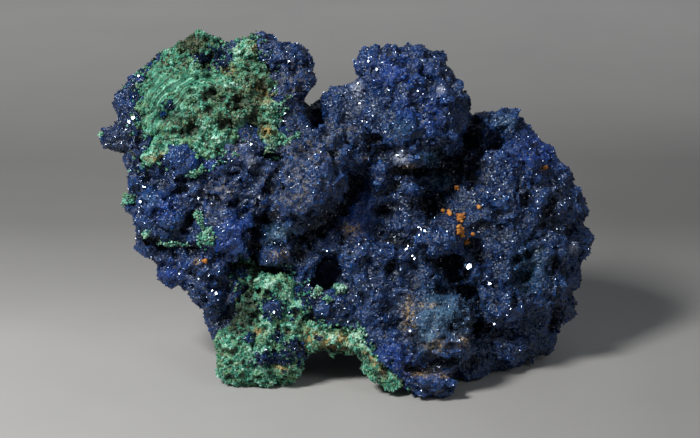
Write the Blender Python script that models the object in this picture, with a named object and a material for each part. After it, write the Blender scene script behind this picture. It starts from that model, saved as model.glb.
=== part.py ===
"""Azurite specimen: balls of azurite crystals grown into one mass, with two crusts of malachite.

The mass is laid out in its growth frame (across, up, deep), in millimetres, which leans back
when the piece stands on its feet. Three solids: the azurite mass, and the upper and lower
malachite crusts, each seated in a bed that is cut into the azurite.
"""

import math
import random

import bmesh
import bpy
from mathutils import Matrix, Vector
from mathutils.bvhtree import BVHTree

MM = 0.001

# Driving dimensions, in millimetres and degrees.
OVERALL_WIDTH = 80.0
LEAN_BACK = 18.0
FLOOR_LEVEL = 4.3  # height in the leaned frame at which the feet are ground flat
GRAIN = 0.8  # the finest lump that the fused azurite keeps
CRUST_GRAIN = 0.56
HOLLOW_GRAIN = 0.48
SEAM = 0.35  # gap between a malachite crust and its azurite bed
CRYSTAL_HEIGHT = 0.3
CRUST_SINK = 0.45  # how far a crust lump's centre lies behind the surface, as a share of its radius
IN_FRONT = -60.0  # a depth that is in front of everything
AZURITE_FACES = 6200
CRUST_FACES = 850

LUMP_KNOBS = (11, 0.26, 0.42)  # knobs on a lump, and their radii as shares of the lump's
CORE_KNOBS = (60, 0.2, 0.3)
MALACHITE_KNOBS = (11, 0.2, 0.34)
KNOB_SEAT = 0.84  # where a knob's centre sits, as a share of its lump's radius
GOLDEN_ANGLE = math.pi * (3.0 - math.sqrt(5.0))

# Every lump is (across, up, deep, radius): across runs to the right, deep runs away from the front.
CORES = [
    (-20.5, 44.0, 2.5, 10.5),
    (-27.0, 38.0, 2.0, 8.0),
    (-13.8, 44.0, 3.0, 8.0),
    (-22.5, 29.0, 1.5, 9.5),
    (-8.0, 32.5, 4.0, 11.0),
    (-14.0, 22.0, 5.0, 8.5),
    (9.5, 45.0, 2.5, 8.8),
    (4.0, 33.0, 7.0, 10.5),
    (9.0, 19.0, 2.0, 10.5),
    (0.0, 19.0, 7.0, 9.5),
    (22.0, 28.0, 7.5, 11.0),
    (27.5, 29.0, 5.5, 9.8),
    (27.0, 18.0, 4.5, 9.0),
    (16.0, 21.0, 9.0, 10.0),
    (-12.5, 10.0, -2.0, 5.5),
    (-16.0, 14.0, 1.5, 5.2),
]

LEFT_LOBE = [
    (-35.0, 47.2, 0.0, 2.9),
    (-31.5, 50.0, 1.0, 3.5),
    (-27.9, 52.8, 2.0, 3.4),
    (-22.9, 55.4, 3.0, 3.3),
    (-17.6, 55.0, 3.0, 3.0),
    (-13.7, 55.8, 2.0, 3.3),
    (-9.6, 54.2, 1.0, 3.2),
    (-6.0, 52.8, 1.0, 1.9),
    (-7.9, 50.2, -1.0, 2.8),
    (-10.4, 47.0, -3.0, 3.4),
    (-9.0, 42.6, -3.5, 3.2),
    (-6.6, 43.4, -2.5, 2.1),
    (-33.0, 42.5, -2.0, 3.4),
    (-32.0, 39.5, -3.0, 3.2),
    (-32.0, 35.6, -3.0, 3.3),
    (-34.3, 31.0, -2.0, 1.7),
    (-29.6, 29.6, -4.5, 4.7),
    (-31.2, 25.2, -3.0, 2.7),
    (-27.0, 21.0, -3.0, 3.2),
    (-22.6, 17.6, -4.0, 2.8),
    (-21.8, 21.8, -5.5, 3.4),
    (-17.2, 26.8, -7.0, 4.7),
    (-22.8, 26.2, -6.0, 3.0),
    (-26.0, 37.6, -7.5, 2.9),
    (-13.7, 39.8, -7.0, 3.2),
    (-20.5, 37.4, -6.5, 3.2),
    (-16.6, 36.8, -7.5, 3.4),
    (-20.0, 32.4, -7.0, 3.9),
    (-13.4, 32.6, -7.0, 3.6),
    (-25.4, 32.8, -6.0, 3.2),
    (-24.0, 47.5, -4.0, 4.2),
    (-28.5, 46.0, -2.5, 3.8),
    (-20.6, 15.6, -3.0, 2.6),
    (-20.4, 13.0, -1.5, 2.4),
    (-19.4, 10.2, -1.5, 2.3),
    (-17.4, 17.6, -3.0, 3.0),
]

BOULDER = [
    (-4.6, 38.4, -8.4, 4.6),
    (-5.2, 34.8, -9.4, 4.9),
    (-6.6, 31.4, -8.6, 4.8),
    (-10.4, 36.4, -7.6, 3.6),
    (-9.6, 32.2, -8.4, 3.4),
    (-10.0, 26.8, -6.5, 2.6),
    (-10.0, 23.4, -6.0, 3.0),
    (-4.4, 25.0, -6.0, 2.4),
    (-6.4, 21.4, -5.0, 2.6),
    (-9.4, 28.6, -8.0, 2.2),
]

CENTRE_LOBE = [
    (4.4, 53.7, 1.0, 3.2),
    (7.6, 53.8, 1.0, 3.2),
    (10.5, 52.8, 1.0, 2.8),
    (13.8, 53.2, 0.0, 2.9),
    (16.2, 50.4, 0.0, 2.6),
    (17.6, 47.4, -0.5, 2.8),
    (18.3, 43.9, -0.5, 2.3),
    (17.4, 40.8, 0.0, 2.3),
    (8.9, 48.7, -2.5, 4.8),
    (13.5, 47.0, -2.5, 4.4),
    (4.6, 47.9, -1.0, 4.0),
    (9.6, 43.0, -4.5, 4.6),
    (14.3, 42.3, -3.5, 3.9),
    (10.4, 38.6, -5.0, 3.0),
    (14.6, 38.4, -3.5, 2.5),
    (4.0, 42.3, -2.5, 3.8),
    (-1.6, 47.8, 0.0, 2.7),
    (1.6, 48.6, -1.0, 2.4),
    (-0.8, 44.6, -1.0, 3.2),
    (-2.2, 41.6, -4.0, 3.2),
    (1.6, 39.6, -3.5, 3.3),
    (6.4, 35.2, -4.0, 3.0),
    (9.7, 32.4, -3.5, 2.8),
]

CENTRE_FOOT = [
    (0.9, 27.6, -4.5, 3.5),
    (4.8, 30.2, -3.0, 3.2),
    (2.4, 22.9, -6.0, 3.9),
    (8.0, 22.9, -6.5, 3.5),
    (10.4, 27.6, -5.0, 3.0),
    (15.3, 25.6, -7.0, 3.8),
    (13.6, 19.8, -6.0, 2.9),
    (20.2, 20.5, -5.5, 2.7),
    (5.6, 17.2, -7.5, 4.0),
    (11.3, 15.4, -8.5, 3.4),
    (5.4, 11.2, -8.5, 3.7),
    (9.0, 7.4, -10.5, 4.0),
    (14.0, 11.6, -10.5, 4.6),
    (16.4, 9.0, -10.5, 4.2),
    (17.8, 13.4, -9.0, 3.2),
    (12.2, 2.9, -12.0, 2.7),
    (15.2, 3.1, -12.0, 2.5),
    (0.8, 14.0, -6.0, 2.9),
    (-2.4, 14.9, -6.5, 2.9),
    (-7.0, 15.8, -6.5, 2.5),
    (-3.4, 12.4, -5.2, 2.8),
    (1.2, 11.6, -5.0, 2.8),
    (4.6, 8.6, -7.2, 2.6),
    (7.0, 5.8, -9.2, 2.5),
    (-11.4, 14.4, -9.2, 2.0),
    (-11.4, 14.4, -6.0, 1.9),
]

RIGHT_LOBE = [
    (22.3, 43.8, 4.0, 2.7),
    (26.2, 43.9, 4.0, 2.9),
    (29.0, 42.4, 4.0, 2.0),
    (31.8, 38.8, 4.0, 2.8),
    (34.5, 35.2, 4.0, 3.0),
    (36.6, 30.4, 4.0, 3.1),
    (37.4, 25.4, 4.0, 2.9),
    (36.4, 19.8, 4.0, 2.8),
    (35.3, 15.0, 5.0, 2.6),
    (32.4, 12.6, 4.0, 2.9),
    (28.2, 8.4, 1.0, 3.4),
    (24.9, 7.0, -1.5, 2.9),
    (21.6, 7.8, -4.0, 3.0),
    (24.8, 15.4, -3.5, 4.4),
    (31.2, 17.4, -1.5, 4.1),
    (25.0, 22.8, -3.5, 4.2),
    (32.0, 23.8, -0.5, 4.2),
    (31.2, 31.0, -0.5, 4.2),
    (25.2, 31.6, -1.0, 4.5),
    (27.4, 37.2, 0.5, 4.2),
    (21.6, 27.6, -3.0, 3.2),
    (22.8, 35.8, 1.5, 2.8),
    (31.8, 8.8, 3.5, 2.7),
    (20.0, 4.6, -4.0, 2.8),
    (23.0, 41.5, 8.0, 3.6),
]

BACK = [
    (-30.0, 44.0, 5.0, 4.4),
    (-26.0, 49.5, 6.5, 3.8),
    (-18.0, 51.5, 7.5, 4.0),
    (-10.5, 50.0, 7.0, 3.8),
    (-22.0, 44.0, 10.5, 4.8),
    (-13.0, 44.5, 11.0, 4.6),
    (-30.0, 36.0, 6.0, 4.4),
    (-24.0, 35.0, 10.5, 5.0),
    (-15.0, 37.0, 13.0, 4.8),
    (-7.0, 40.0, 11.0, 4.6),
    (-28.5, 28.0, 6.0, 4.2),
    (-20.5, 27.0, 11.0, 4.8),
    (-10.5, 29.0, 15.0, 5.0),
    (-22.0, 20.5, 7.5, 3.8),
    (-13.5, 20.0, 13.0, 4.6),
    (5.0, 49.5, 6.0, 4.0),
    (12.0, 49.5, 6.0, 4.2),
    (15.5, 44.0, 6.5, 4.0),
    (5.0, 43.0, 9.5, 4.6),
    (0.0, 36.0, 13.5, 5.0),
    (9.5, 36.0, 13.5, 5.0),
    (17.5, 37.5, 10.5, 4.4),
    (24.5, 38.5, 9.0, 4.0),
    (30.0, 34.0, 9.5, 4.2),
    (33.5, 27.5, 9.5, 4.0),
    (25.0, 31.0, 14.0, 4.9),
    (14.0, 28.0, 17.5, 5.0),
    (4.0, 26.5, 17.5, 4.9),
    (33.0, 20.0, 10.0, 4.1),
    (24.5, 22.0, 15.0, 4.8),
    (14.0, 19.0, 18.0, 4.4),
    (3.0, 17.5, 16.0, 4.6),
    (-6.0, 19.0, 15.0, 4.6),
    (27.0, 14.0, 11.0, 4.0),
    (-3.0, 45.5, 7.0, 3.4),
]

# The feet behind: the piece stands on them and on the two front ones.
BACK_FEET = [
    (17.0, 15.0, 16.5, 4.8),
    (-12.0, 12.9, 13.5, 4.8),
    (22.5, 12.0, 10.0, 4.4),
    (-9.0, 12.5, 7.0, 4.4),
]

# Stretched lumps are (across, up, deep, (half width, half height, half depth), roll in degrees).
BLADED_BLOCK = (-36.4, 41.8, -2.0, (3.6, 2.3, 2.8), -6.0)

# Hollows, in the same form: caves, the slot under the boulder and the pits between the balls.
HOLLOWS = [
    (-2.7, 21.0, -8.0, (2.3, 1.7, 6.0), 0.0),
    (20.2, 41.4, -1.0, (1.1, 4.4, 6.5), 12.0),
    (17.9, 36.6, -4.0, (3.2, 2.5, 6.5), 0.0),
    (12.2, 36.6, -6.0, (4.2, 0.9, 4.0), -8.0),
    (6.9, 33.4, -6.5, (2.7, 0.9, 3.6), -30.0),
    (6.1, 29.8, -6.5, (1.6, 1.0, 3.4), 0.0),
    (12.2, 29.8, -7.0, (3.0, 0.7, 3.0), 0.0),
    (1.4, 34.4, -8.5, (1.3, 5.6, 4.4), 20.0),
    (-2.4, 28.2, -9.5, (1.3, 5.0, 4.0), 48.0),
    (-4.0, 44.6, -4.0, (1.5, 3.2, 4.0), 4.0),
    (-5.1, 49.4, 3.0, (0.9, 2.8, 13.0), 30.0),
    (16.9, 21.4, -8.0, (2.0, 1.8, 4.0), 10.0),
    (14.6, 22.4, -8.5, (2.8, 0.6, 2.6), 8.0),
    (-14.9, 25.0, -9.5, (0.9, 3.8, 3.6), 25.0),
    (-12.2, 33.1, -10.6, (1.6, 0.8, 2.4), -15.0),
    (-13.2, 36.6, -10.4, (3.4, 0.8, 2.4), -30.0),
    (-26.1, 33.4, -9.4, (1.3, 0.9, 2.6), 0.0),
    (33.9, 20.8, -3.0, (2.8, 0.7, 2.8), -24.0),
    (32.7, 31.8, -3.5, (0.7, 2.4, 2.4), 14.0),
    (30.2, 24.2, -4.0, (2.4, 0.6, 2.2), -25.0),
    (21.0, 5.6, -7.5, (3.0, 1.0, 3.0), 0.0),
]

# The upper crust's lumps are (across, up, radius): they sit on the azurite, wherever its front is.
UPPER_CRUST = [
    (-22.9, 56.0, 2.5),
    (-25.6, 55.2, 2.2),
    (-27.4, 53.4, 2.3),
    (-25.0, 52.6, 2.4),
    (-29.8, 51.1, 2.2),
    (-31.8, 48.7, 2.0),
    (-27.4, 50.8, 2.6),
    (-29.0, 48.0, 2.6),
    (-31.3, 46.0, 1.8),
    (-30.6, 43.9, 1.6),
    (-25.8, 48.6, 2.8),
    (-23.4, 50.8, 2.4),
    (-20.8, 51.2, 2.2),
    (-17.8, 52.0, 2.0),
    (-22.6, 47.6, 3.0),
    (-19.4, 48.4, 2.9),
    (-16.1, 49.4, 2.4),
    (-25.0, 45.4, 2.7),
    (-21.8, 44.6, 2.9),
    (-18.5, 45.4, 2.8),
    (-15.3, 46.0, 2.5),
    (-26.9, 43.2, 2.0),
    (-22.6, 41.8, 2.3),
    (-19.4, 41.6, 2.0),
    (-21.6, 39.6, 1.7),
    (-15.6, 55.6, 1.7),
    (-16.6, 53.8, 1.7),
    (-14.4, 52.2, 1.8),
    (-13.2, 49.4, 1.8),
    (-12.3, 46.4, 1.6),
    (-12.0, 44.0, 1.5),
    (-12.2, 41.8, 1.5),
    (-10.2, 41.2, 1.1),
    (-8.2, 41.6, 1.0),
    (-28.2, 40.8, 2.0),
    (-30.0, 39.6, 1.5),
    (-31.4, 37.9, 1.3),
    (-25.8, 41.2, 1.7),
]

LOWER_CRUST = [
    (-17.6, 8.6, -6.5, 2.8),
    (-17.0, 5.2, -6.5, 2.9),
    (-13.0, 5.0, -7.0, 2.8),
    (-9.4, 5.4, -7.4, 2.5),
    (-13.6, 8.8, -8.6, 2.8),
    (-9.2, 8.6, -8.2, 2.6),
    (-5.0, 9.6, -7.6, 2.3),
    (-2.0, 9.2, -7.0, 2.1),
    (0.6, 8.8, -6.8, 1.9),
    (-15.4, 12.2, -7.4, 2.2),
    (-14.6, 15.2, -6.4, 2.1),
    (-13.2, 17.8, -6.2, 2.0),
    (-9.8, 17.8, -6.8, 2.0),
    (-8.2, 14.6, -7.2, 1.7),
    (-8.6, 11.6, -7.8, 2.1),
    (-12.4, 11.4, -8.2, 2.1),
    (-15.4, 20.2, -4.6, 1.8),
    (1.8, 9.4, -8.4, 1.4),
    (3.2, 7.6, -9.4, 1.5),
    (4.6, 5.8, -10.4, 1.5),
    (6.0, 4.0, -11.2, 1.4),
    (7.6, 2.9, -11.6, 1.2),
]


def from_growth_frame():
    """The turn that leans the growth frame back onto the feet: up tips away from the front."""
    lean = Matrix.Rotation(math.radians(-LEAN_BACK), 4, "X")
    return Matrix.Scale(MM, 4) @ Matrix.Translation((0, 0, -FLOOR_LEVEL)) @ lean


def lump_matrix(across, up, deep, halves, roll=0.0):
    """Places a unit ball as a lump or a hollow, still in the growth frame."""
    turn = Matrix.Rotation(math.radians(roll), 4, "Y")
    half_width, half_height, half_depth = halves
    size = Matrix.Diagonal((half_width, half_depth, half_height, 1.0))
    return Matrix.Translation((across, deep, up)) @ turn @ size


def round_lump(lump):
    across, up, deep, radius = lump
    return lump_matrix(across, up, deep, (radius, radius, radius))


def seated(lumps, body):
    """Sets lumps given as (across, up, radius) on the front of a body, each sunk a little into it."""
    tree = BVHTree.FromPolygons([vert.co for vert in body.data.vertices], faces_of(body))
    frame = from_growth_frame()
    inward = (frame.to_3x3() @ Vector((0.0, 1.0, 0.0))).normalized()
    for across, up, radius in lumps:
        touch = tree.ray_cast(frame @ Vector((across, IN_FRONT, up)), inward)[0]
        if touch is None:
            touch = tree.find_nearest(frame @ Vector((across, 0.0, up)))[0]
        deep = (frame.inverted() @ touch).y
        yield (across, up, deep + radius * CRUST_SINK, radius)


def faces_of(obj):
    return [face.vertices[:] for face in obj.data.polygons]


def knobs_on(lump, knobs, chance):
    """The smaller balls that cover a round lump, spread evenly over it and then jittered."""
    across, up, deep, radius = lump
    count, least, most = knobs
    first = chance.uniform(0.0, math.tau)
    for index in range(count):
        height = 1.0 - 2.0 * (index + chance.uniform(0.2, 0.8)) / count
        turn = first + index * GOLDEN_ANGLE + chance.uniform(-0.3, 0.3)
        ring = math.sqrt(1.0 - height * height)
        way = Vector((ring * math.cos(turn), ring * math.sin(turn), height))
        centre = Vector((across, deep, up)) + way * radius * KNOB_SEAT
        yield (centre.x, centre.z, centre.y, radius * chance.uniform(least, most))


def new_object(name, mesh):
    obj = bpy.data.objects.new(name, mesh)
    bpy.context.scene.collection.objects.link(obj)
    return obj


def unit_ball(detail):
    ball = bmesh.new()
    bmesh.ops.create_icosphere(ball, subdivisions=detail, radius=1.0)
    mesh = bpy.data.meshes.new("unit_ball")
    ball.to_mesh(mesh)
    ball.free()
    return mesh


def ball_pile(name, matrices, detail):
    """One mesh holding a ball for each matrix, still separate shells."""
    ball = unit_ball(detail)
    pile = bmesh.new()
    for matrix in matrices:
        placed = ball.copy()
        placed.transform(matrix)
        pile.from_mesh(placed)
        bpy.data.meshes.remove(placed)
    mesh = bpy.data.meshes.new(name)
    pile.to_mesh(mesh)
    pile.free()
    mesh.transform(from_growth_frame())
    return new_object(name, mesh)


def settle(obj):
    """Replaces the object's mesh by what its modifiers make of it."""
    graph = bpy.context.evaluated_depsgraph_get()
    made = bpy.data.meshes.new_from_object(obj.evaluated_get(graph))
    obj.modifiers.clear()
    obj.data = made


def fuse(obj, grain):
    """Grows a pile of balls into one closed skin."""
    remesh = obj.modifiers.new("fuse", "REMESH")
    remesh.mode = "VOXEL"
    remesh.voxel_size = grain * MM
    settle(obj)


def thin_out(obj, faces):
    """Leaves about this many flat faces, the way that crystal faces meet."""
    obj.data.calc_loop_triangles()
    decimate = obj.modifiers.new("facets", "DECIMATE")
    decimate.ratio = min(1.0, faces / len(obj.data.loop_triangles))
    decimate.use_collapse_triangulate = True
    settle(obj)


def cut_away(obj, cutter):
    boolean = obj.modifiers.new("cut", "BOOLEAN")
    boolean.operation = "DIFFERENCE"
    boolean.solver = "EXACT"
    boolean.use_self = True
    boolean.object = cutter
    settle(obj)


def remove(obj):
    bpy.data.objects.remove(obj)


def islands(shape):
    """The separate bodies of a bmesh, each a set of its faces."""
    left = set(shape.faces)
    while left:
        body, edge_of_body = set(), [left.pop()]
        while edge_of_body:
            face = edge_of_body.pop()
            body.add(face)
            for edge in face.edges:
                for other in edge.link_faces:
                    if other in left:
                        left.remove(other)
                        edge_of_body.append(other)
        yield body


def keep_largest_body(obj):
    shape = bmesh.new()
    shape.from_mesh(obj.data)
    bodies = sorted(islands(shape), key=len)
    crumbs = [face for body in bodies[:-1] for face in body]
    bmesh.ops.delete(shape, geom=crumbs, context="FACES")
    shape.to_mesh(obj.data)
    shape.free()


def raise_crystals(obj, height, chance):
    """Lifts single points off the skin, no two of them neighbours, so that each is a crystal tip."""
    shape = bmesh.new()
    shape.from_mesh(obj.data)
    shape.normal_update()
    order = list(shape.verts)
    chance.shuffle(order)
    tips, beside = {}, set()
    for vert in order:
        if vert in beside:
            continue
        tips[vert] = vert.normal * height * MM * chance.uniform(0.5, 1.3)
        beside.update(edge.other_vert(vert) for edge in vert.link_edges)
    for vert, lift in tips.items():
        vert.co += lift
    shape.to_mesh(obj.data)
    shape.free()


def grind_feet(obj):
    """Cuts the solid off flat at the surface that it stands on."""
    shape = bmesh.new()
    shape.from_mesh(obj.data)
    everything = shape.verts[:] + shape.edges[:] + shape.faces[:]
    bmesh.ops.bisect_plane(
        shape, geom=everything, dist=1e-7, plane_co=(0, 0, 0), plane_no=(0, 0, -1), clear_outer=True
    )
    rims = [edge for edge in shape.edges if edge.is_boundary]
    bmesh.ops.holes_fill(shape, edges=rims, sides=0)
    bmesh.ops.triangulate(shape, faces=shape.faces[:])
    shape.to_mesh(obj.data)
    shape.free()


def bed_cutter(crust, seam):
    """The crust, swollen by a seam, which cuts its bed into the azurite."""
    cutter = new_object("bed", crust.data.copy())
    swell = cutter.modifiers.new("seam", "DISPLACE")
    swell.mid_level = 0.0
    swell.strength = seam * MM
    settle(cutter)
    return cutter


def mineral(name, colour, roughness):
    material = bpy.data.materials.new(name)
    material.use_nodes = True
    surface = material.node_tree.nodes["Principled BSDF"]
    surface.inputs["Base Color"].default_value = (*colour, 1.0)
    surface.inputs["Roughness"].default_value = roughness
    surface.inputs["Metallic"].default_value = 0.0
    material.diffuse_color = (*colour, 1.0)
    return material


def knobbly(lumps, knobs, chance):
    """The balls of a list of lumps, each with its knobs."""
    for lump in lumps:
        yield round_lump(lump)
        for knob in knobs_on(lump, knobs, chance):
            yield round_lump(knob)


def malachite_crust(name, lumps, seed):
    crust = ball_pile(name, knobbly(lumps, MALACHITE_KNOBS, random.Random(seed)), 2)
    fuse(crust, CRUST_GRAIN)
    thin_out(crust, CRUST_FACES)
    keep_largest_body(crust)
    return crust


def azurite_body(chance):
    """The whole azurite as one rounded skin, with its hollows sunk in it."""
    lumps = LEFT_LOBE + BOULDER + CENTRE_LOBE + CENTRE_FOOT + RIGHT_LOBE + BACK + BACK_FEET
    balls = list(knobbly(CORES, CORE_KNOBS, chance)) + list(knobbly(lumps, LUMP_KNOBS, chance))
    mass = ball_pile("azurite_mass", balls + [lump_matrix(*BLADED_BLOCK)], 2)
    fuse(mass, GRAIN)
    hollows = ball_pile("hollows", [lump_matrix(*hollow) for hollow in HOLLOWS], 3)
    fuse(hollows, HOLLOW_GRAIN)
    cut_away(mass, hollows)
    remove(hollows)
    fuse(mass, GRAIN)
    keep_largest_body(mass)
    return mass


def grow_crystals(mass, chance):
    thin_out(mass, AZURITE_FACES)
    raise_crystals(mass, CRYSTAL_HEIGHT, chance)


def bed_crust(mass, crust):
    """Cuts the crust's bed, and then the slivers that its swollen form folds over in tight corners."""
    for seam in (SEAM, SEAM / 3.0):
        cutter = bed_cutter(crust, seam)
        cut_away(mass, cutter)
        remove(cutter)


def box_of(objects):
    corners = [vert.co for obj in objects for vert in obj.data.vertices]
    low = Vector([min(corner[axis] for corner in corners) for axis in range(3)])
    high = Vector([max(corner[axis] for corner in corners) for axis in range(3)])
    return low, high


def stand_on_origin(objects):
    """Brings the whole to its real width, with the middle of its box over the origin."""
    low, high = box_of(objects)
    scale = OVERALL_WIDTH * MM / (high.x - low.x)
    middle = Vector(((low.x + high.x) / 2, (low.y + high.y) / 2, low.z))
    move = Matrix.Scale(scale, 4) @ Matrix.Translation(-middle)
    for obj in objects:
        obj.data.transform(move)


def main():
    for obj in list(bpy.data.objects):
        remove(obj)
    chance = random.Random(11)
    mass = azurite_body(chance)
    upper = malachite_crust("malachite_crust_upper", list(seated(UPPER_CRUST, mass)), 5)
    lower = malachite_crust("malachite_crust_lower", LOWER_CRUST, 6)
    grow_crystals(mass, chance)
    for crust in (upper, lower):
        bed_crust(mass, crust)
    keep_largest_body(mass)
    solids = (mass, upper, lower)
    for solid in solids:
        grind_feet(solid)
    stand_on_origin(solids)
    azurite = mineral("azurite", (0.012, 0.03, 0.17), 0.3)
    malachite = mineral("malachite", (0.07, 0.36, 0.22), 0.75)
    for solid, material in zip(solids, (azurite, malachite, malachite)):
        solid.data.materials.clear()
        solid.data.materials.append(material)
    low, high = box_of(solids)
    print("size in mm:", [round(side / MM, 1) for side in high - low])


main()
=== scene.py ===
# %% [markdown]
# # Azurite specimen
#
# The real object is one mass of azurite: hundreds of small balls, each a burst of blue
# crystals, fused into three big lobes. Green malachite sits on it in two crusts. The built
# solids are loaded as a fixed frame and dressed: a ground with small lumps, tens of
# thousands of crystals grown on it, and crumbly green crusts.

# %% Load the frame
import math

import bpy
import numpy as np
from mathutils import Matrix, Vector, noise
from mathutils.bvhtree import BVHTree


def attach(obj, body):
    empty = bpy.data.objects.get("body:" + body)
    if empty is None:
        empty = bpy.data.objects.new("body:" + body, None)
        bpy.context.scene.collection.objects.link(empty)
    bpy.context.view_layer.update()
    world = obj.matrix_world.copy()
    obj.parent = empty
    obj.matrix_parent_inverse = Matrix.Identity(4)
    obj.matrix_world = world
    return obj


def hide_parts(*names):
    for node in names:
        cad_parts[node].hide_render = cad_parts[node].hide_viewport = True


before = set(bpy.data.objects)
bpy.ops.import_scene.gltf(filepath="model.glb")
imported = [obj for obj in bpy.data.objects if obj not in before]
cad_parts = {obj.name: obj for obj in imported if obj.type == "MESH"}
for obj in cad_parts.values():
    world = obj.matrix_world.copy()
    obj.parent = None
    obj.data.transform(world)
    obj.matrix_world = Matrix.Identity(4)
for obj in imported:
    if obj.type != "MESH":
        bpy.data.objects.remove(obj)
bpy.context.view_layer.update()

MM = 0.001

# %% [markdown]
# The mass leans back on its feet, so "across" and "up" on its face aren't the world's X and
# Z. One frame of axes answers every question of place: across runs to the right, up runs up
# the face, deep runs into the stone. In world numbers each spot would need three of them,
# and none could be read off the stone with a ruler.

# %% The growth frame, in millimetres
LEAN_BACK = math.radians(18.0)
FACE_SCALE = 0.9932  # what brings the laid-out mass to its overall width of 80 mm
FACE_ORIGIN = Vector((-0.625, -8.574, -4.271))  # where across, up and deep are all 0
FACE_MIDDLE = (0.8, 28.7)
ACROSS_AXIS = Vector((1.0, 0.0, 0.0))
UP_AXIS = Vector((0.0, math.sin(LEAN_BACK), math.cos(LEAN_BACK)))
DEEP_AXIS = Vector((0.0, math.cos(LEAN_BACK), -math.sin(LEAN_BACK)))


def place(across, up, deep=0.0):
    """The point, in metres, that lies at this across, up and deep."""
    along = ACROSS_AXIS * across + UP_AXIS * up + DEEP_AXIS * deep
    return (along * FACE_SCALE + FACE_ORIGIN) * MM


print("the face's middle lies at", [round(v / MM, 1) for v in place(*FACE_MIDDLE)], "mm")

# %% [markdown]
# ## Camera
#
# A long lens from a little above keeps the true proportions of near and far parts. A short
# one would swell the near lobe. The camera looks straight along the deep axis.

# %% Camera
SIGHT_DISTANCE = 450.0  # mm from the face's middle
SENSOR = 36.0
VIEW_WIDTH = 112.9 * FACE_SCALE  # mm that the frame spans at the face

view_data = bpy.data.cameras.new("specimen_camera")
view_data.sensor_width = SENSOR
view_data.lens = SENSOR * SIGHT_DISTANCE / VIEW_WIDTH
view_data.clip_start = 0.01
camera = bpy.data.objects.new("specimen_camera", view_data)
bpy.context.scene.collection.objects.link(camera)
face_middle = place(*FACE_MIDDLE)
camera.location = face_middle - DEEP_AXIS * SIGHT_DISTANCE * MM
camera.rotation_euler = DEEP_AXIS.to_track_quat("-Z", "Y").to_euler()
bpy.context.scene.camera = camera
print("lens:", round(view_data.lens, 1), "mm")

# %% [markdown]
# Spots are named by where they show on the face, so that a list of them reads like a map.
# Points in space would have to be dug out of the mesh, and would all be wrong as soon as
# the mass changed.

# %% Places on the face
EYE, DEEP = np.array(camera.location), np.array(DEEP_AXIS)


def on_face(points):
    """Where points show on the face, as across and up, seen from the camera."""
    rays = np.asarray(points) - EYE
    reach = (np.array(face_middle) - EYE) @ DEEP
    hits = EYE + rays * (reach / (rays @ DEEP))[:, None]
    flat = (hits / MM - np.array(FACE_ORIGIN)) / FACE_SCALE
    return flat @ np.array(ACROSS_AXIS), flat @ np.array(UP_AXIS)


def radius_in(points, spot):
    """How far out of an oval spot points show: 0 in its middle, 1 on its rim.

    A spot is across, up, half length, half width, and sometimes a slant in degrees.
    """
    a, u, half_long, half_wide, slant = (*spot, 0.0)[:5]
    across, up = on_face(points)
    turn = math.radians(slant)
    along = (across - a) * math.cos(turn) + (up - u) * math.sin(turn)
    beside = (up - u) * math.cos(turn) - (across - a) * math.sin(turn)
    return np.hypot(along / half_long, beside / half_wide)


def spots_mask(points, spots, wander=0.0):
    """1 in the middle of any of these spots, 0 well outside; wander makes their rims ragged."""
    mask = np.zeros(len(points))
    for spot in spots:
        radius = np.maximum(radius_in(points, spot) + wander, 0.0)
        mask = np.maximum(mask, np.exp(-radius ** 2))
    return mask


# %% [markdown]
# ## Floor and light
#
# A pale grey table, a bright lamp high on the left and in front, a weaker one on the right,
# a broad one for the back, and a dim room. The bright lamp is fairly small: faces only
# sparkle when they mirror something bright and compact. A huge soft box would turn every
# facet the same dull grey.

# %% Floor and light
FLOOR_SIZE = 3.0
bpy.ops.object.select_all(action="DESELECT")
bpy.ops.mesh.primitive_plane_add(size=FLOOR_SIZE, location=(0.0, 0.0, 0.0))
table_top = bpy.context.object
table_top.name = "table_top"


def lamp(name, azimuth, elevation, distance, size, power, colour):
    """A square lamp that looks at the stone; azimuth 0 is in front, 90 at the right."""
    a, e = math.radians(azimuth), math.radians(elevation)
    back = Vector((math.sin(a) * math.cos(e), -math.cos(a) * math.cos(e), math.sin(e)))
    light = bpy.data.lights.new(name, "AREA")
    light.shape = "SQUARE"
    light.size = size
    light.energy = power
    light.color = colour
    stand = bpy.data.objects.new(name, light)
    bpy.context.scene.collection.objects.link(stand)
    stand.location = face_middle + back * distance
    stand.rotation_euler = (-back).to_track_quat("-Z", "Y").to_euler()
    return stand


LAMPS = {  # azimuth, elevation, distance, size, power and colour
    "key_lamp": (-50.0, 48.0, 0.42, 0.095, 2.0, (1.0, 0.98, 0.95)),
    "fill_lamp": (50.0, 40.0, 1.1, 0.4, 1.15, (0.93, 0.96, 1.0)),
    "back_lamp": (170.0, 40.0, 1.1, 1.2, 1.0, (0.95, 0.97, 1.0)),
}
lamps = {name: lamp(name, *settings) for name, settings in LAMPS.items()}

ROOM_COLOUR, ROOM_LIGHT = (0.92, 0.95, 1.0, 1.0), 0.12
room = bpy.data.worlds.new("room")
room.use_nodes = True
room.node_tree.nodes["Background"].inputs["Color"].default_value = ROOM_COLOUR
room.node_tree.nodes["Background"].inputs["Strength"].default_value = ROOM_LIGHT
bpy.context.scene.world = room
bpy.context.scene.view_settings.view_transform = "Standard"
print("lamps:", list(lamps))

# %% [markdown]
# ## Working on meshes
#
# Operators act on all that is selected, and the frame's solids arrive selected, so each
# step starts by selecting one thing. These helpers do that, copy a solid of the frame, and
# apply modifiers one at a time, as one would from the Modifiers tab.


# %% Helpers for meshes
def pick_up(piece):
    """Makes this piece the only selected one, and the active one."""
    bpy.ops.object.select_all(action="DESELECT")
    piece.select_set(True)
    bpy.context.view_layer.objects.active = piece


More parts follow.
